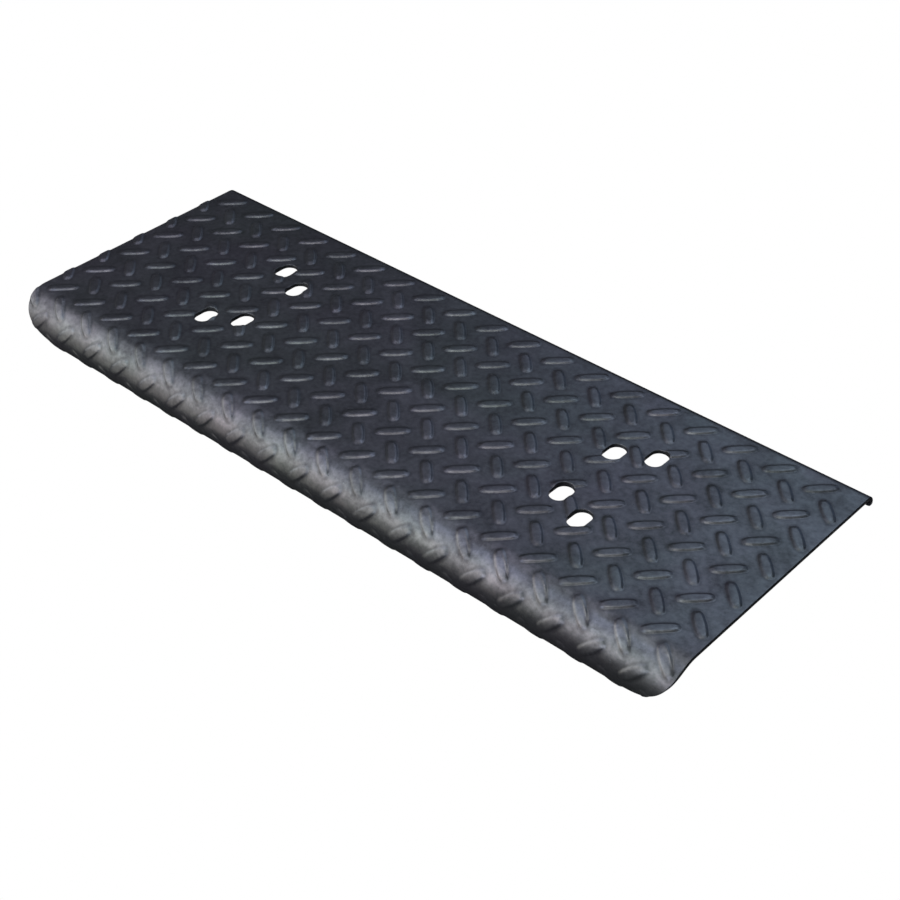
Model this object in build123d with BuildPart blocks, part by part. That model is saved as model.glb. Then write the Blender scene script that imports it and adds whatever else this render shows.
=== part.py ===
"""Running board: one sheet of raised-lug tread plate, formed into a step.

The sheet is flat across the deck. Its rear edge is turned down in a short lip,
and its front edge is rolled down and under in a large rounded nose whose two
lower corners are rounded off. Eight slots, four towards each end, take the
bolts of the vehicle's brackets.

Frame: millimetres, +X along the board, +Y to the vehicle, +Z up. The origin is
on the underside of the deck, in the middle of the slot pattern.
"""
import os
from math import cos, radians, sin

from build123d import *

# Sheet
LENGTH = 600.0
THICKNESS = 3.0
DECK_TOP = THICKNESS

# Rear lip, turned down at the vehicle side
REAR_FACE_Y = 103.0
LIP_BEND_RADIUS = 7.0
LIP_BOTTOM_Z = -6.6

# Rolled nose at the front
NOSE_TANGENT_Y = -91.0
NOSE_RADIUS = 23.0
NOSE_ANGLE = 127.0
CORNER_WIDTH = 46.0
CORNER_TOP_Z = DECK_TOP

# Bolt slots, all running across the board
SLOT_WIDTH = 13.0
SLOT_LENGTH = 19.0
OUTER_SLOT_X = 175.0
OUTER_SLOT_SPACING = 81.0
INNER_SLOT_X = 150.0
INNER_SLOT_SPACING = 55.0

# Raised lugs, two families at right angles to each other. Each is a blunt oval
# that narrows from its foot on the sheet to its crown.
LUG_LENGTH = 24.0
LUG_WIDTH = 8.4
CROWN_LENGTH = 15.6
CROWN_WIDTH = 4.2
LUG_HEIGHT = 1.0
LUG_ROOT = 0.5
LUG_ANGLE = 45.0
PITCH_X = 30.84
PITCH_Y = 34.23
FIRST_COLUMN_X = -283.2
FIRST_ROW_Y = 84.3
COLUMNS = 19
DECK_ROWS = 5

# Cutting tools reach this far past the sheet
CLEAR = 5.0

nose_centre_z = DECK_TOP - NOSE_RADIUS
lip_centre = (REAR_FACE_Y - LIP_BEND_RADIUS, DECK_TOP - LIP_BEND_RADIUS)
end_plane = Plane.YZ.offset(-LENGTH / 2)
nose_bottom_z = nose_centre_z + NOSE_RADIUS * cos(radians(NOSE_ANGLE))

# The second family sits half a pitch over in both directions, and its first
# column is cut through by the end of the board.
rising_columns = [FIRST_COLUMN_X + PITCH_X * n for n in range(COLUMNS)]
falling_columns = [x - PITCH_X / 2 for x in rising_columns] + [rising_columns[-1] + PITCH_X / 2]


def sheet_outline(outer_offset, inner_offset):
    """Closed outline, Y across and Z up, between two offsets from the sheet's outer face."""
    outer_lip = LIP_BEND_RADIUS + outer_offset
    inner_lip = LIP_BEND_RADIUS + inner_offset
    outer_nose = NOSE_RADIUS + outer_offset
    inner_nose = NOSE_RADIUS + inner_offset
    lip_y, lip_z = lip_centre
    end = radians(90 + NOSE_ANGLE)
    nose_tip = Vector(cos(end), sin(end))
    nose_centre = Vector(NOSE_TANGENT_Y, nose_centre_z)
    with BuildSketch() as outline:
        with BuildLine():
            Line((lip_y + outer_lip, LIP_BOTTOM_Z), (lip_y + outer_lip, lip_z))
            CenterArc(lip_centre, outer_lip, 0, 90)
            Line((lip_y, DECK_TOP + outer_offset), (NOSE_TANGENT_Y, DECK_TOP + outer_offset))
            CenterArc(nose_centre, outer_nose, 90, NOSE_ANGLE)
            Line(nose_centre + nose_tip * outer_nose, nose_centre + nose_tip * inner_nose)
            CenterArc(nose_centre, inner_nose, 90, NOSE_ANGLE)
            Line((NOSE_TANGENT_Y, DECK_TOP + inner_offset), (lip_y, DECK_TOP + inner_offset))
            CenterArc(lip_centre, inner_lip, 0, 90)
            Line((lip_y + inner_lip, lip_z), (lip_y + inner_lip, LIP_BOTTOM_Z))
            Line((lip_y + inner_lip, LIP_BOTTOM_Z), (lip_y + outer_lip, LIP_BOTTOM_Z))
        make_face()
    return outline.sketch


def lug_face(height):
    """Blunt oval along X, the lug's section at this height above the sheet."""
    share = height / LUG_HEIGHT
    length = LUG_LENGTH + (CROWN_LENGTH - LUG_LENGTH) * share
    width = LUG_WIDTH + (CROWN_WIDTH - LUG_WIDTH) * share
    with BuildSketch() as oval:
        SlotOverall(length, width)
    return oval.sketch


def nose_plane(row_y):
    """Tangent plane of the sheet for a lug row at this flat-pattern position."""
    turned = max(0.0, (NOSE_TANGENT_Y - row_y) / NOSE_RADIUS)
    if turned == 0.0:
        return Plane(origin=(0, row_y, DECK_TOP), x_dir=(1, 0, 0), z_dir=(0, 0, 1))
    normal = (0, -sin(turned), cos(turned))
    centre = (0, NOSE_TANGENT_Y + NOSE_RADIUS * normal[1], nose_centre_z + NOSE_RADIUS * normal[2])
    return Plane(origin=centre, x_dir=(1, 0, 0), z_dir=normal)


# One lug, sunk a little into the sheet
with BuildPart() as lug:
    for height in (-LUG_ROOT, LUG_HEIGHT):
        with BuildSketch(Plane.XY.offset(height)):
            add(lug_face(height))
    loft(ruled=True)

deck_lug_places = []
for row in range(DECK_ROWS):
    rising_y = FIRST_ROW_Y - PITCH_Y * row
    falling_y = rising_y - PITCH_Y / 2
    deck_lug_places += [Location((x, rising_y, DECK_TOP), (0, 0, LUG_ANGLE)) for x in rising_columns]
    deck_lug_places += [Location((x, falling_y, DECK_TOP), (0, 0, -LUG_ANGLE)) for x in falling_columns]

# Lugs on the nose follow its curve: straight-sided ovals trimmed to a skin
# that lies on the outside of the sheet.
nose_rows = []
for row in (DECK_ROWS, DECK_ROWS + 1):
    rising_y = FIRST_ROW_Y - PITCH_Y * row
    nose_rows.append((rising_y, LUG_ANGLE, rising_columns))
    nose_rows.append((rising_y - PITCH_Y / 2, -LUG_ANGLE, falling_columns))

with BuildPart() as nose_lugs:
    for row_y, angle, columns in nose_rows:
        with BuildSketch(nose_plane(row_y)):
            with Locations(*[Location((x, 0, 0), (0, 0, angle)) for x in columns]):
                add(lug_face(LUG_HEIGHT / 2))
        extrude(amount=CLEAR, both=True)
    with BuildSketch(end_plane):
        add(sheet_outline(LUG_HEIGHT, -LUG_ROOT))
    extrude(amount=LENGTH, mode=Mode.INTERSECT)

with BuildPart() as tread_plate:
    with BuildSketch(end_plane):
        add(sheet_outline(0.0, -THICKNESS))
    extrude(amount=LENGTH)

    # Raised lugs over the deck and the nose
    with Locations(*deck_lug_places):
        add(lug.part)
    add(nose_lugs.part)

    # The end of the board cuts through the lugs that lie across it
    split(bisect_by=end_plane, keep=Keep.TOP)

    # Bolt slots
    with BuildSketch(Plane.XY.offset(-CLEAR)):
        for x, spacing in ((OUTER_SLOT_X, OUTER_SLOT_SPACING), (INNER_SLOT_X, INNER_SLOT_SPACING)):
            with GridLocations(2 * x, spacing, 2, 2):
                SlotOverall(SLOT_LENGTH, SLOT_WIDTH, rotation=90)
    extrude(amount=DECK_TOP + 2 * CLEAR, mode=Mode.SUBTRACT)

    # Rounded lower corners of the nose
    with BuildSketch(Plane.XZ.offset(-NOSE_TANGENT_Y)):
        corner_height = CORNER_TOP_Z - nose_bottom_z
        for side in (-1, 1):
            inner_x = side * (LENGTH / 2 - CORNER_WIDTH)
            with Locations((inner_x, CORNER_TOP_Z)):
                across = Align.MIN if side > 0 else Align.MAX
                Rectangle(CORNER_WIDTH + CLEAR, corner_height + CLEAR, align=(across, Align.MAX))
                Ellipse(CORNER_WIDTH, corner_height, mode=Mode.SUBTRACT)
    extrude(amount=NOSE_RADIUS + CLEAR, mode=Mode.SUBTRACT)

tread_plate.part.label = "tread_plate"

os.makedirs("parts", exist_ok=True)
export_step(tread_plate.part, "parts/tread_plate.step")
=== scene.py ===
import math

import bpy
import numpy as np
from mathutils import Matrix, Vector
from mathutils.geometry import delaunay_2d_cdt


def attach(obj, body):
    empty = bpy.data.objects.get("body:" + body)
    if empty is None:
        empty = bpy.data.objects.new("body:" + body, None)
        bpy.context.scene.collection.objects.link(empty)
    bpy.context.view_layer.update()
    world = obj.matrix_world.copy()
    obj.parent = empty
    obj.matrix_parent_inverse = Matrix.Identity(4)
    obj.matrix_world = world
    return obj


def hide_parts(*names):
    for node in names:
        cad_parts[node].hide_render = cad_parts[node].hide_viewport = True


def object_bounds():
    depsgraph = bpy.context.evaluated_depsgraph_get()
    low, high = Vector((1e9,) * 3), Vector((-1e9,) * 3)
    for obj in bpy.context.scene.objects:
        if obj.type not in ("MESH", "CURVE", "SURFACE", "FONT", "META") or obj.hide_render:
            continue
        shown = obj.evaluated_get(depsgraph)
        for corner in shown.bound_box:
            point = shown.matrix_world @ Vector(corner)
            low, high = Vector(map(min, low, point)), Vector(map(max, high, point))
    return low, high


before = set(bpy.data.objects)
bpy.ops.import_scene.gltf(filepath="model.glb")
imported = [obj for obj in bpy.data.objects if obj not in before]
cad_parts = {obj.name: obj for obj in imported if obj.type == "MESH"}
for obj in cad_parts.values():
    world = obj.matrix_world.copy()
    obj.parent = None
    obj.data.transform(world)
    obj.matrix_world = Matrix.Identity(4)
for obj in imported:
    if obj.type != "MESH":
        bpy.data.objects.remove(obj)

# Running board: one sheet of raised-lug tread plate in satin black powder coat.
cad_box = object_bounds()
MM = 0.001

# ---------------------------------------------------------------- dimensions (millimetres)
# The sheet is described in its flat pattern: x along the board, f across it, growing
# towards the vehicle. f equals y on the deck and measures arc length round the bends.
# Length, rear face and top come from the frame.
LENGTH = round((cad_box[1][0] - cad_box[0][0]) / MM, 2)
REAR_FACE = round(cad_box[1][1] / MM, 2)
LUG_HEIGHT = 1.0
THICKNESS = round(cad_box[1][2] / MM - LUG_HEIGHT, 2)
LIP_RADIUS = 7.0
LIP_DROP = 2.6
NOSE_TANGENT = -91.0
NOSE_RADIUS = 23.0
NOSE_ANGLE = math.radians(127.0)
CORNER_WIDTH = 46.0
CORNER_TOP_Z = THICKNESS
REAR_CORNER_RADIUS = 1.5
EDGE_ROUND = 0.45

LIP_TANGENT = REAR_FACE - LIP_RADIUS
LIP_ARC = LIP_RADIUS * math.pi / 2
NOSE_ARC = NOSE_RADIUS * NOSE_ANGLE
FLAT_REAR = LIP_TANGENT + LIP_ARC + LIP_DROP
FLAT_FRONT = NOSE_TANGENT - NOSE_ARC
NOSE_BOTTOM_Z = THICKNESS - NOSE_RADIUS * (1 - math.cos(NOSE_ANGLE))

# Four bolt slots towards each end: distance along the board and spacing across it
SLOT_WIDTH = 13.0
SLOT_LENGTH = 19.0
SLOT_STRAIGHT = SLOT_LENGTH - SLOT_WIDTH
SLOT_PAIRS = ((175.0, 81.0), (150.0, 55.0))
SLOTS = [
    (side * x, across * spacing / 2)
    for side in (-1, 1)
    for x, spacing in SLOT_PAIRS
    for across in (-1, 1)
]

# Lattice of lugs. A second family sits half a pitch over both ways, at right angles.
PITCH_X = 30.84
PITCH_Y = 34.23
FIRST_X = -283.2
FIRST_F = 84.3
COLUMNS = 19
ROWS = 7
LUG_ANGLE = math.pi / 4

# Each lug is a blunt oval. Rings of it: half length, half width, height, painted shade at the feet
LUG_RINGS = (
    (14.6, 6.40, 0.00, 0.0),
    (13.0, 4.95, 0.00, 1.0),
    (12.2, 4.35, 0.03, 1.0),
    (11.6, 3.95, 0.17, 0.5),
    (10.6, 3.40, 0.51, 0.0),
    (9.6, 2.90, 0.79, 0.0),
    (8.6, 2.30, 0.94, 0.0),
    (6.8, 1.50, 0.98, 0.0),
    (3.8, 0.70, 1.00, 0.0),
)
LUG_REACH = LUG_RINGS[0][0]
# Superellipse power of the oval, where 2 is an ellipse
LUG_POWER = 3.0
# The bending rolls flatten lugs by this share, reached half way round the nose
PRESSED = 0.35

# ---------------------------------------------------------------- mesh spacing (millimetres)
OUTLINE_STEP = 1.4
SLOT_STEP = 0.9
NOSE_OUTLINE_STEPS = 70
REAR_CORNER_STEPS = 6
SLOT_ARC_STEPS = 32
LUG_POINTS = 26
EDGE_TURNS = [math.radians(angle) for angle in (30, 60, 90)]
# Rows round the nose, rows round the rear bend, and points along those rows
FINE_GRID = (1.3, 0.8, 3.0)
COARSE_GRID = (2.6, 1.4, 9.0)
DECK_GRID = 8.0
# Room left between grid points and the nose's tangent, the rear bend's tangent, the
# front and rear edges, and the outlines
NOSE_ROOM = 4.0
LIP_ROOM = 3.0
ROW_ROOM = 0.7
OUTLINE_ROOM = 1.2
# Grid points stay above this ring value of a lug's outermost ring
LUG_ROOM = 1.1
# Points closer than this are one point to the triangulation
MERGE_DISTANCE = 1e-5


# ---------------------------------------------------------------- the formed sheet
def fold(x, f, h):
    """Points of the flat pattern, h above the sheet's outer face, as formed."""
    x, f, h = np.broadcast_arrays(np.asarray(x, float), np.asarray(f, float), np.asarray(h, float))
    y, z = f.copy(), THICKNESS + h
    lip = f > LIP_TANGENT
    turn = np.clip((f - LIP_TANGENT) / LIP_RADIUS, 0, math.pi / 2)
    drop = np.clip(f - LIP_TANGENT - LIP_ARC, 0, None)
    y = np.where(lip, LIP_TANGENT + (LIP_RADIUS + h) * np.sin(turn), y)
    z = np.where(lip, THICKNESS - LIP_RADIUS + (LIP_RADIUS + h) * np.cos(turn) - drop, z)
    nose = f < NOSE_TANGENT
    turn = np.clip((NOSE_TANGENT - f) / NOSE_RADIUS, 0, None)
    y = np.where(nose, NOSE_TANGENT - (NOSE_RADIUS + h) * np.sin(turn), y)
    z = np.where(nose, THICKNESS - NOSE_RADIUS + (NOSE_RADIUS + h) * np.cos(turn), z)
    return np.stack([x, y, z], axis=-1)


def corner_inset(f):
    """How far the rounded nose corner has cut in from the end of the board at f."""
    turn = (NOSE_TANGENT - f) / NOSE_RADIUS
    if turn <= 0:
        return 0.0
    z = THICKNESS - NOSE_RADIUS * (1 - math.cos(turn))
    depth = (CORNER_TOP_Z - z) / (CORNER_TOP_Z - NOSE_BOTTOM_Z)
    depth = min(max(depth, 0.0), 1.0)
    return CORNER_WIDTH * (1 - math.sqrt(1 - depth * depth))


# ---------------------------------------------------------------- outlines
def resample(points, step):
    """The closed polyline with vertices about step apart."""
    p = np.array(points, float)
    q = np.roll(p, -1, axis=0)
    lengths = np.linalg.norm(q - p, axis=1)
    at = np.concatenate([[0], np.cumsum(lengths)])
    count = max(8, int(round(at[-1] / step)))
    wanted = np.arange(count) * at[-1] / count
    closed = np.vstack([p, p[:1]])
    return np.stack([np.interp(wanted, at, closed[:, k]) for k in (0, 1)], axis=1)


def outward_normals(loop):
    """Unit normals that point right of the loop's direction of travel."""
    along = np.roll(loop, -1, axis=0) - np.roll(loop, 1, axis=0)
    along /= np.linalg.norm(along, axis=1)[:, None]
    return np.stack([along[:, 1], -along[:, 0]], axis=1)


def inward(loop, distance):
    """The loop moved to the left of its direction of travel by distance."""
    return loop - outward_normals(loop) * distance


def sheet_loop():
    """The flat pattern's outline, counter-clockwise, with small rear corner radii."""
    half = LENGTH / 2
    nose = []
    for k in range(NOSE_OUTLINE_STEPS + 1):
        share = math.sin(k / NOSE_OUTLINE_STEPS * math.pi / 2)
        f = NOSE_TANGENT + (FLAT_FRONT - NOSE_TANGENT) * share
        nose.append((half - corner_inset(f), f))
    nose.reverse()
    rear = []
    for k in range(REAR_CORNER_STEPS + 1):
        a = k / REAR_CORNER_STEPS * math.pi / 2
        across = REAR_CORNER_RADIUS * math.sin(a)
        along = REAR_CORNER_RADIUS * math.cos(a)
        rear.append((half - REAR_CORNER_RADIUS + along, FLAT_REAR - REAR_CORNER_RADIUS + across))
    side = nose + rear
    left = [(-x, f) for x, f in reversed(side)]
    return resample(side + left, OUTLINE_STEP)


def slot_loop(cx, cy):
    """A slot's outline, clockwise, so that the sheet is on its left."""
    radius = SLOT_WIDTH / 2
    points = []
    for first, middle in ((0, cy + SLOT_STRAIGHT / 2), (1, cy - SLOT_STRAIGHT / 2)):
        for k in range(SLOT_ARC_STEPS + 1):
            a = math.pi * (first + k / SLOT_ARC_STEPS)
            points.append((cx + radius * math.cos(a), middle + radius * math.sin(a)))
    return resample(points[::-1], SLOT_STEP)


def inside_polygon(points, loop):
    """Even-odd test of many points against a closed polygon."""
    x, y = points[:, 0], points[:, 1]
    inside = np.zeros(len(points), bool)
    for (x1, y1), (x2, y2) in zip(loop, np.roll(loop, -1, axis=0)):
        if y1 == y2:
            continue
        hit = (y1 > y) != (y2 > y)
        hit &= x < (x2 - x1) * (y - y1) / (y2 - y1) + x1
        inside ^= hit
    return inside


def in_sheet(points, loops):
    """Whether points lie inside the outline, loops[0], and outside every slot."""
    keep = inside_polygon(points, loops[0])
    for hole in loops[1:]:
        near = np.all((points > hole.min(0)) & (points < hole.max(0)), axis=1)
        index = np.flatnonzero(near)
        keep[index[inside_polygon(points[index], hole)]] = False
    return keep


# ---------------------------------------------------------------- lugs
def lug_centres():
    """(x, f, angle) of every lug."""
    centres = []
    for row in range(ROWS):
        f = FIRST_F - PITCH_Y * row
        for col in range(COLUMNS):
            centres.append((FIRST_X + PITCH_X * col, f, LUG_ANGLE))
        for col in range(COLUMNS + 1):
            centres.append((FIRST_X + PITCH_X * (col - 0.5), f - PITCH_Y / 2, -LUG_ANGLE))
    return centres


def lug_ring(half_length, half_width):
    """Points of a blunt oval along X about the origin."""
    t = (np.arange(LUG_POINTS) + 0.5) / LUG_POINTS * 2 * math.pi
    u, v = (np.sign(k) * np.abs(k) ** (2 / LUG_POWER) for k in (np.cos(t), np.sin(t)))
    return np.stack([half_length * u, half_width * v], axis=1)


def ring_value(points, centre, angle, ring):
    """Below 1 inside a lug's ring and above 1 outside it."""
    d = points - centre
    c, s = math.cos(angle), math.sin(angle)
    along = np.abs(d[:, 0] * c + d[:, 1] * s) / ring[0]
    across = np.abs(d[:, 1] * c - d[:, 0] * s) / ring[1]
    return along**LUG_POWER + across**LUG_POWER


def lug_values(points, lugs):
    """Height above the sheet and painted shade round the lug feet at any points of the flat pattern."""
    found = np.zeros((len(points), 2))
    levels = np.array([ring[2:] for ring in LUG_RINGS] + [(LUG_HEIGHT, 0.0)])
    for cx, cy, angle in lugs:
        near = np.flatnonzero(np.all(np.abs(points - (cx, cy)) < LUG_REACH, axis=1))
        values = [ring_value(points[near], (cx, cy), angle, ring) for ring in LUG_RINGS]
        here = np.zeros((len(near), 2))
        for k, outer in enumerate(values):
            share = 1 - outer
            if k + 1 < len(values):
                share = share / np.maximum(values[k + 1] - outer, 1e-9)
            share = np.clip(share, 0, 1)[:, None]
            level = levels[k] + (levels[k + 1] - levels[k]) * share
            here = np.where(outer[:, None] <= 1, level, here)
        found[near] = np.maximum(found[near], here)
    height, foot = found.T
    pressed = PRESSED * np.clip((NOSE_TANGENT - points[:, 1]) / (NOSE_ARC / 2), 0, 1)
    return height * (1 - pressed), foot


# ---------------------------------------------------------------- triangulation
def ring_edges(start, count):
    """Edges that close a loop of count points, numbered from start."""
    return [(start + k, start + (k + 1) % count) for k in range(count)]


def triangulate(points, edges):
    """Constrained triangulation of the flat pattern. Returns its points and triangles."""
    coords = [Vector((float(x), float(y))) for x, y in points]
    verts, _, faces, _, _, _ = delaunay_2d_cdt(coords, edges, [], 0, MERGE_DISTANCE)
    return np.array([(v.x, v.y) for v in verts]), np.array([list(t) for t in faces], int)


def base_grid(lugs, spacing):
    """Points that carry the sheet's curvature, kept clear of outline, slots and lugs."""
    nose_step, lip_step, bend_gap = spacing
    rows = [(f, bend_gap) for f in np.arange(NOSE_TANGENT, FLAT_FRONT + ROW_ROOM, -nose_step)]
    rows += [(f, bend_gap) for f in np.arange(LIP_TANGENT, FLAT_REAR - ROW_ROOM, lip_step)]
    rows += [(f, DECK_GRID) for f in np.arange(NOSE_TANGENT + NOSE_ROOM, LIP_TANGENT - LIP_ROOM, DECK_GRID)]
    points = []
    for n, (f, gap) in enumerate(rows):
        half = LENGTH / 2 - OUTLINE_ROOM - corner_inset(f)
        count = max(2, int(2 * half / gap))
        offset = (n % 2) * 0.5
        points += [(-half + 2 * half * (k + offset) / count, f) for k in range(count)]
    points = np.array(points)
    keep = np.ones(len(points), bool)
    for cx, cy in SLOTS:
        past_straight = np.maximum(np.abs(points[:, 1] - cy) - SLOT_STRAIGHT / 2, 0)
        keep &= np.hypot(points[:, 0] - cx, past_straight) > SLOT_WIDTH / 2 + OUTLINE_ROOM
    for cx, cy, angle in lugs:
        near = np.flatnonzero(np.all(np.abs(points - (cx, cy)) < LUG_REACH + 1, axis=1))
        keep[near[ring_value(points[near], (cx, cy), angle, LUG_RINGS[0]) < LUG_ROOM]] = False
    return points[keep]


def flat_skin(lugs, loops, spacing):
    """Triangulated flat pattern inside the loops, with a ring mesh at every given lug."""
    points, edges, total = [], [], 0
    for loop in loops:
        points.append(loop)
        edges += ring_edges(total, len(loop))
        total += len(loop)
    for cx, cy, angle in lugs:
        c, s = math.cos(angle), math.sin(angle)
        turn = np.array([[c, s], [-s, c]])
        for half_length, half_width, _, _ in LUG_RINGS:
            points.append(lug_ring(half_length, half_width) @ turn + (cx, cy))
            edges += ring_edges(total, LUG_POINTS)
            total += LUG_POINTS
        points.append(np.array([(cx, cy)]))
        total += 1
    points.append(base_grid(lugs, spacing))
    flat, triangles = triangulate(np.vstack(points), edges)
    triangles = triangles[in_sheet(flat[triangles].mean(axis=1), loops)]
    # Points that no triangle uses are dropped
    used = np.unique(triangles)
    index = np.full(len(flat), -1)
    index[used] = np.arange(len(used))
    return flat[used], index[triangles]


def boundary_loops(triangles):
    """Vertex loops round a set of triangles, the faces on their left, the longest first."""
    edges = np.vstack([triangles[:, [0, 1]], triangles[:, [1, 2]], triangles[:, [2, 0]]])
    known = {(int(a), int(b)) for a, b in edges}
    follow = {a: b for a, b in known if (b, a) not in known}
    loops = []
    while follow:
        first, at = next(iter(follow.items()))
        loop = [first]
        del follow[first]
        while at != first:
            loop.append(at)
            at = follow.pop(at)
        loops.append(loop)
    return sorted(loops, key=len, reverse=True)


# ---------------------------------------------------------------- the sheet's closed mesh
class SheetMesh:
    """Points, triangles and vertex values of the sheet, gathered part by part."""

    def __init__(self):
        self.points, self.faces = [], []
        self.values = {"crown": [], "foot": [], "edge": []}
        self.count = 0

    def add(self, flat, height, **values):
        """Folds and adds points, and returns their numbers. Values not given are zero."""
        self.points.append(fold(flat[:, 0], flat[:, 1], height))
        for key, parts in self.values.items():
            parts.append(np.zeros(len(flat)) + values.get(key, 0.0))
        self.count += len(flat)
        return np.arange(self.count - len(flat), self.count)

    def add_cut_edge(self, flat, height, numbers):
        """A rim's small round, side wall and second round. Returns the last row's numbers."""
        outwards = outward_normals(flat)
        rows = [(math.sin(a), height - EDGE_ROUND * (1 - math.cos(a))) for a in EDGE_TURNS]
        rows += [(math.sin(a), EDGE_ROUND * (1 - math.cos(a)) - THICKNESS) for a in reversed(EDGE_TURNS)]
        rows += [(0.0, -THICKNESS)]
        for push, level in rows:
            # Cut edges get full painted shade, a dark outline in the sheen, and the edge mark for wear
            row = self.add(flat + outwards * EDGE_ROUND * push, level, foot=1.0, edge=1.0)
            next_number, next_in_row = np.roll(numbers, -1), np.roll(row, -1)
            self.faces.append(np.stack([numbers, row, next_in_row], axis=1))
            self.faces.append(np.stack([numbers, next_in_row, next_number], axis=1))
            numbers = row
        return numbers

    def add_underside(self, rims):
        """Fills the rims, pairs of flat points and their numbers, with a plain skin."""
        flat, triangles = flat_skin([], [points for points, _ in rims], COARSE_GRID)
        known = {}
        for points, numbers in rims:
            known.update(zip(map(tuple, points.tolist()), numbers))
        rim_number = [known.get(tuple(point)) for point in flat.tolist()]
        inner = np.array([number is None for number in rim_number])
        index = np.zeros(len(flat), int)
        index[inner] = self.add(flat[inner], -THICKNESS)
        index[~inner] = [number for number in rim_number if number is not None]
        self.faces.append(index[triangles][:, ::-1])


def build_sheet():
    """The whole closed sheet: outer skin with lugs, rounded cut edges, and underside."""
    sheet_mesh = SheetMesh()
    lugs = lug_centres()
    loops = [sheet_loop()] + [slot_loop(*slot) for slot in SLOTS]
    flat, triangles = flat_skin(lugs, [inward(loop, EDGE_ROUND) for loop in loops], FINE_GRID)
    height, foot = lug_values(flat, lugs)
    sheet_mesh.add(flat, height, crown=height / LUG_HEIGHT, foot=foot)
    sheet_mesh.faces.append(triangles)
    rims = []
    for rim in boundary_loops(triangles):
        rims.append((flat[rim], sheet_mesh.add_cut_edge(flat[rim], height[rim], np.array(rim))))
    sheet_mesh.add_underside(rims)
    return sheet_mesh


def mesh_object(name, sheet_mesh):
    """A smooth object whose normals follow the larger faces, with named vertex values."""
    verts = np.vstack(sheet_mesh.points) * MM
    faces = np.vstack(sheet_mesh.faces)
    mesh = bpy.data.meshes.new(name)
    mesh.from_pydata(verts.tolist(), [], faces.tolist())
    mesh.shade_smooth()
    for key, parts in sheet_mesh.values.items():
        layer = mesh.attributes.new(key, "FLOAT", "POINT")
        layer.data.foreach_set("value", np.concatenate(parts).astype(np.float32))
    a, b, c = (verts[faces[:, k]] for k in range(3))
    face_normals = np.cross(b - a, c - a)
    normals = np.zeros_like(verts)
    for k in range(3):
        np.add.at(normals, faces[:, k], face_normals)
    normals /= np.linalg.norm(normals, axis=1)[:, None]
    mesh.normals_split_custom_set_from_vertices(normals.tolist())
    obj = bpy.data.objects.new(name, mesh)
    bpy.context.scene.collection.objects.link(obj)
    return obj


# ---------------------------------------------------------------- shader building
class NodeKit:
    """Short forms for filling a node tree."""

    def __init__(self, tree):
        self.nodes, self.links = tree.nodes, tree.links
        self.nodes.clear()

    def put(self, socket, value):
        """Links another node's output to the socket, or sets the socket's value."""
        if isinstance(value, bpy.types.NodeSocket):
            self.links.new(value, socket)
        elif socket.type == "RGBA":
            socket.default_value = (*value, 1.0)
        else:
            socket.default_value = value

    def node(self, kind, **inputs):
        made = self.nodes.new(kind)
        for key, value in inputs.items():
            self.put(made.inputs[key.replace("_", " ")], value)
        return made

    def place(self):
        """Object coordinates, one node for the whole tree."""
        if "place" not in self.nodes:
            self.nodes.new("ShaderNodeTexCoord").name = "place"
        return self.nodes["place"].outputs["Object"]

    def attribute(self, name):
        made = self.nodes.new("ShaderNodeAttribute")
        made.attribute_name = name
        return made.outputs["Fac"]

    def noise(self, scale, detail=2.0, roughness=0.5, stretch=None):
        place = self.place()
        if stretch:
            place = self.node("ShaderNodeMapping", Vector=place, Scale=stretch).outputs["Vector"]
        made = self.node("ShaderNodeTexNoise", Vector=place, Scale=scale, Detail=detail, Roughness=roughness)
        return made.outputs["Fac"]

    def remap(self, value, low, high, out_low, out_high):
        """value from low..high to out_low..out_high, held at both ends."""
        source = {"Value": value, "From_Min": low, "From_Max": high}
        return self.node("ShaderNodeMapRange", **source, To_Min=out_low, To_Max=out_high).outputs["Result"]

    def combine(self, kind, a, b):
        made = self.nodes.new("ShaderNodeMath")
        made.operation = kind
        self.put(made.inputs[0], a)
        self.put(made.inputs[1], b)
        return made.outputs["Value"]

    def blend(self, factor, a, b):
        made = self.nodes.new("ShaderNodeMix")
        made.data_type = "RGBA"
        self.put(made.inputs["Factor"], factor)
        # The node's colour sockets
        self.put(made.inputs[6], a)
        self.put(made.inputs[7], b)
        return made.outputs[2]

    def mix_shaders(self, factor, first, second):
        made = self.node("ShaderNodeMixShader", Fac=factor)
        self.put(made.inputs[1], first)
        self.put(made.inputs[2], second)
        return made.outputs["Shader"]


def new_material(name):
    material = bpy.data.materials.new(name)
    material.use_nodes = True
    return material, NodeKit(material.node_tree)


# ---------------------------------------------------------------- powder coat
COAT_BLACK = (0.018, 0.019, 0.019)
COAT_VIOLET = (0.021, 0.018, 0.023)
COAT_GREEN = (0.016, 0.022, 0.019)
COAT_PIGMENT = (0.030, 0.030, 0.032)
COAT_WORN = (0.080, 0.082, 0.086)
SHEEN_GREEN = (0.92, 1.0, 0.96)
SHEEN_VIOLET = (1.0, 0.94, 1.0)
COAT_IOR = 1.9

# How much the sheen is lowered as painted shade round lug feet and cut edges, as a painted dark band over
# the rear bend and as painted shade under the nose, and the places (in metres) over which the last two set
# in
FOOT_PAINTED_SHADE = 0.30
REAR_PAINTED_SHADE, REAR_FROM_Y, REAR_TO_Y = 0.85, 0.0945, 0.0985
UNDER_PAINTED_SHADE, UNDER_FROM_Z, UNDER_TO_Z = 0.65, -0.020, -0.030

# Heights of the surface bumps, in metres
PEEL_HEIGHT = 0.000020
GRAIN_HEIGHT = 0.000006


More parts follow.
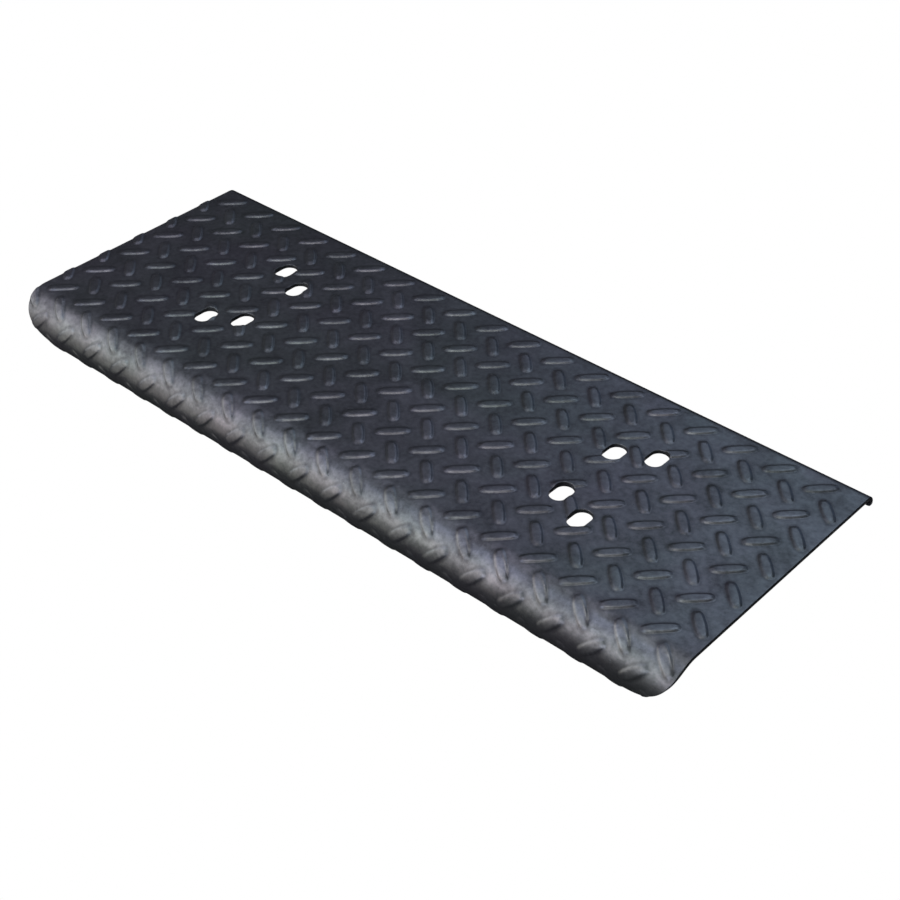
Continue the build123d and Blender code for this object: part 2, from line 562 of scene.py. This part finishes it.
def coat_wear(kit):
    """How worn the coat is, 0 to 1: rubbed crowns and cut edges, scuffs and specks."""
    crown = kit.remap(kit.attribute("crown"), 0.92, 1.0, 0, 1)
    crown_rub = kit.combine("MULTIPLY", crown, kit.remap(kit.noise(95.0, 4.0), 0.48, 0.66, 0, 0.6))
    edge = kit.attribute("edge")
    edge_rub = kit.combine("MULTIPLY", edge, kit.remap(kit.noise(130.0, 4.0), 0.50, 0.65, 0, 1))
    wear = kit.combine("MAXIMUM", crown_rub, edge_rub)
    # Scuffs: fine broken streaks, in patches
    patches = kit.remap(kit.noise(13.0, 2.0), 0.54, 0.66, 0, 1)
    streaks = kit.remap(kit.noise(70.0, 5.0, 0.65, (1.0, 9.0, 1.0)), 0.60, 0.68, 0, 0.8)
    wear = kit.combine("MAXIMUM", wear, kit.combine("MULTIPLY", patches, streaks))
    # Pinhead specks of dust and bare metal
    specks = kit.remap(kit.noise(330.0, 0.0), 0.80, 0.86, 0, 1)
    return kit.combine("MAXIMUM", wear, specks)


def coat_colour(kit, wear):
    """Near black, drifting between neutral, violet and green, and paler where worn."""
    tint = kit.blend(kit.remap(kit.noise(11.0), 0.35, 0.65, 0, 1), COAT_BLACK, COAT_VIOLET)
    tint = kit.blend(kit.remap(kit.noise(7.0, 3.0), 0.50, 0.72, 0, 0.6), tint, COAT_GREEN)
    # Fine pigment mottling
    tint = kit.blend(kit.remap(kit.noise(420.0, 3.0), 0.35, 0.65, 0, 0.35), tint, COAT_PIGMENT)
    return kit.blend(kit.combine("MULTIPLY", wear, 0.45), tint, COAT_WORN)


def coat_sheen_and_painted_shade(kit):
    """Cloudy sheen, lowered as painted shade at lug feet and cut edges, as a painted dark band over the rear
    bend and as painted shade under the nose.
    """
    clouds = kit.remap(kit.noise(34.0, 4.0, 0.6), 0.3, 0.7, 0.33, 0.69)
    speckle = kit.remap(kit.noise(250.0, 3.0, 0.7), 0.3, 0.7, -0.18, 0.18)
    place = kit.node("ShaderNodeSeparateXYZ", Vector=kit.place())
    # Painted shade: the sheen is lowered round lug feet and along cut edges, where shade falls
    painted_shade_share = kit.combine("MULTIPLY", kit.attribute("foot"), FOOT_PAINTED_SHADE)
    # Painted dark band: the sheen is lowered over the rear bend
    rear = kit.remap(place.outputs["Y"], REAR_FROM_Y, REAR_TO_Y, 0, REAR_PAINTED_SHADE)
    # Painted shade: the sheen is lowered under the nose, towards the rolled-under edge
    under = kit.remap(place.outputs["Z"], UNDER_FROM_Z, UNDER_TO_Z, 0, UNDER_PAINTED_SHADE)
    painted_shade_share = kit.combine("MAXIMUM", kit.combine("MAXIMUM", painted_shade_share, rear), under)
    return kit.combine("MULTIPLY", kit.combine("ADD", clouds, speckle), kit.combine("SUBTRACT", 1.0, painted_shade_share))


def coat_cast(kit):
    """Colour of the sheen, drifting between a faint green and a faint violet."""
    return kit.blend(kit.remap(kit.noise(8.0, 3.0, 0.6), 0.40, 0.60, 0, 1), SHEEN_GREEN, SHEEN_VIOLET)


def coat_roughness(kit, wear):
    """Drifting roughness, a little smoother where worn."""
    rough = kit.remap(kit.noise(26.0, 4.0), 0.3, 0.7, 0.31, 0.39)
    rough = kit.combine("ADD", rough, kit.remap(kit.noise(300.0, 2.0), 0.3, 0.7, -0.03, 0.03))
    return kit.combine("SUBTRACT", rough, kit.combine("MULTIPLY", wear, 0.06))


def coat_bumps(kit):
    """Orange peel plus a finer grain."""
    peel = kit.node("ShaderNodeBump", Strength=1.0, Distance=PEEL_HEIGHT, Height=kit.noise(620.0, 2.0))
    grain = kit.node("ShaderNodeBump", Strength=1.0, Distance=GRAIN_HEIGHT, Height=kit.noise(2200.0, 2.0))
    kit.put(grain.inputs["Normal"], peel.outputs["Normal"])
    return grain.outputs["Normal"]


def powder_coat():
    """Satin black powder coat that has been stepped on."""
    material, kit = new_material("black_powder_coat")
    wear = coat_wear(kit)
    shader = kit.node(
        "ShaderNodeBsdfPrincipled",
        Metallic=0.0,
        IOR=COAT_IOR,
        Base_Color=coat_colour(kit, wear),
        Roughness=coat_roughness(kit, wear),
        Specular_IOR_Level=coat_sheen_and_painted_shade(kit),
        Specular_Tint=coat_cast(kit),
        Normal=coat_bumps(kit),
    )
    kit.node("ShaderNodeOutputMaterial", Surface=shader.outputs["BSDF"])
    return material


# ---------------------------------------------------------------- the piece
sheet = mesh_object("tread_plate_sheet", build_sheet())
sheet.data.materials.append(powder_coat())
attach(sheet, "root")
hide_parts("tread_plate")

# ---------------------------------------------------------------- stage
# Metres, and colours of red, green and blue
PALE = (1.0, 1.0, 1.0)
FLOOR_HALF = 30.0
FLOOR_GAP = 0.00075
ROOM_COLOR = (0.80, 0.82, 0.90)
ROOM_STRENGTH = 0.02


def floor_material():
    """Even pale glow on the upper side, clear from below."""
    material, kit = new_material("pale_floor")
    glow = kit.node("ShaderNodeEmission", Color=PALE, Strength=1.0).outputs["Emission"]
    clear = kit.node("ShaderNodeBsdfTransparent").outputs["BSDF"]
    below = kit.node("ShaderNodeNewGeometry").outputs["Backfacing"]
    kit.node("ShaderNodeOutputMaterial", Surface=kit.mix_shaders(below, glow, clear))
    return material


def pale_floor():
    """A wide floor just below the board that only the camera sees."""
    z = cad_box[0][2] - FLOOR_GAP
    corners = ((-1, -1), (1, -1), (1, 1), (-1, 1))
    mesh = bpy.data.meshes.new("floor")
    mesh.from_pydata([(x * FLOOR_HALF, y * FLOOR_HALF, z) for x, y in corners], [], [(0, 1, 2, 3)])
    mesh.materials.append(floor_material())
    floor = bpy.data.objects.new("floor", mesh)
    bpy.context.scene.collection.objects.link(floor)
    floor.visible_diffuse = False
    floor.visible_glossy = False
    floor.visible_shadow = False


def studio_world():
    """A dim room in every reflection and an even pale backdrop for the camera."""
    world = bpy.data.worlds.new("studio")
    world.use_nodes = True
    kit = NodeKit(world.node_tree)
    room = kit.node("ShaderNodeBackground", Color=ROOM_COLOR, Strength=ROOM_STRENGTH)
    pale = kit.node("ShaderNodeBackground", Color=PALE, Strength=1.0)
    camera_ray = kit.node("ShaderNodeLightPath").outputs["Is Camera Ray"]
    mixed = kit.mix_shaders(camera_ray, room.outputs["Background"], pale.outputs["Background"])
    kit.node("ShaderNodeOutputWorld", Surface=mixed)
    return world


pale_floor()
bpy.context.scene.world = studio_world()

# ---------------------------------------------------------------- softboxes
SOFTBOX_DISTANCE = 3.0
SOFTBOX_SIDE = 1.385
# Name, azimuth, elevation, radiance in red, green and blue
SOFTBOXES = (
    ("low_front", 0, 10, (2.95, 3.15, 3.65)),
    ("low_right", 30, 10, (2.10, 2.25, 2.50)),
    ("low_camera_side", 60, 10, (0.95, 1.05, 0.95)),
    ("low_left", 300, 10, (2.60, 2.65, 2.70)),
    ("low_front_left", 330, 10, (2.85, 2.75, 2.75)),
    ("high_front", 0, 33, (0.35, 0.45, 0.40)),
    ("floor_bounce", 320, -14, (0.92, 0.89, 0.82)),
    ("high_left", 300, 33, (1.60, 1.55, 1.75)),
    ("high_front_left", 330, 33, (2.25, 2.50, 2.75)),
    ("top_left", 245, 58, (0.80, 0.85, 1.10)),
    ("top_front_left", 315, 58, (1.35, 1.55, 2.10)),
    ("overhead", 0, 84, (3.05, 3.15, 3.25)),
    ("top_rear", 180, 58, (1.25, 1.50, 1.95)),
    ("rear_right", 200, 38, (0.42, 0.52, 0.72)),
    ("low_rear", 180, 10, (0.15, 0.22, 0.36)),
    ("underside_fill", 180, -50, (0.60, 0.60, 0.66)),
)


def softbox(name, azimuth, elevation, radiance):
    """A square lamp facing the board's middle. Azimuth 0 is -Y and 90 is +X, in degrees."""
    lamp = bpy.data.lights.new(name, "AREA")
    lamp.shape = "SQUARE"
    lamp.size = SOFTBOX_SIDE
    strongest = max(radiance)
    lamp.energy = strongest * math.pi * SOFTBOX_SIDE**2
    lamp.color = [channel / strongest for channel in radiance]
    obj = bpy.data.objects.new(name, lamp)
    turn, rise = math.radians(azimuth), math.radians(elevation)
    towards = Vector((math.sin(turn) * math.cos(rise), -math.cos(turn) * math.cos(rise), math.sin(rise)))
    obj.location = towards * SOFTBOX_DISTANCE
    obj.rotation_mode = "QUATERNION"
    obj.rotation_quaternion = towards.to_track_quat("Z", "Y")
    bpy.context.scene.collection.objects.link(obj)


for box in SOFTBOXES:
    softbox(*box)

# ---------------------------------------------------------------- camera
# Azimuth 0 looks along +Y and grows to the left; angles in degrees
CAMERA_PLACE = (0.6647, -0.7013, 0.6920)
CAMERA_AZIMUTH = 42.1860
CAMERA_ELEVATION = 37.7769
CAMERA_ROLL = -0.4052
CAMERA_LENS = 68.33
CAMERA_SENSOR = 36.0

camera_data = bpy.data.cameras.new("camera")
camera_data.lens = CAMERA_LENS
camera_data.sensor_width = CAMERA_SENSOR
camera = bpy.data.objects.new("camera", camera_data)
heading = Matrix.Rotation(math.radians(CAMERA_AZIMUTH), 4, "Z")
tilt = Matrix.Rotation(math.radians(90 - CAMERA_ELEVATION), 4, "X")
roll = Matrix.Rotation(math.radians(CAMERA_ROLL), 4, "Z")
camera.matrix_world = Matrix.Translation(CAMERA_PLACE) @ heading @ tilt @ roll
bpy.context.scene.collection.objects.link(camera)
bpy.context.scene.camera = camera
bpy.context.scene.view_settings.view_transform = "Standard"
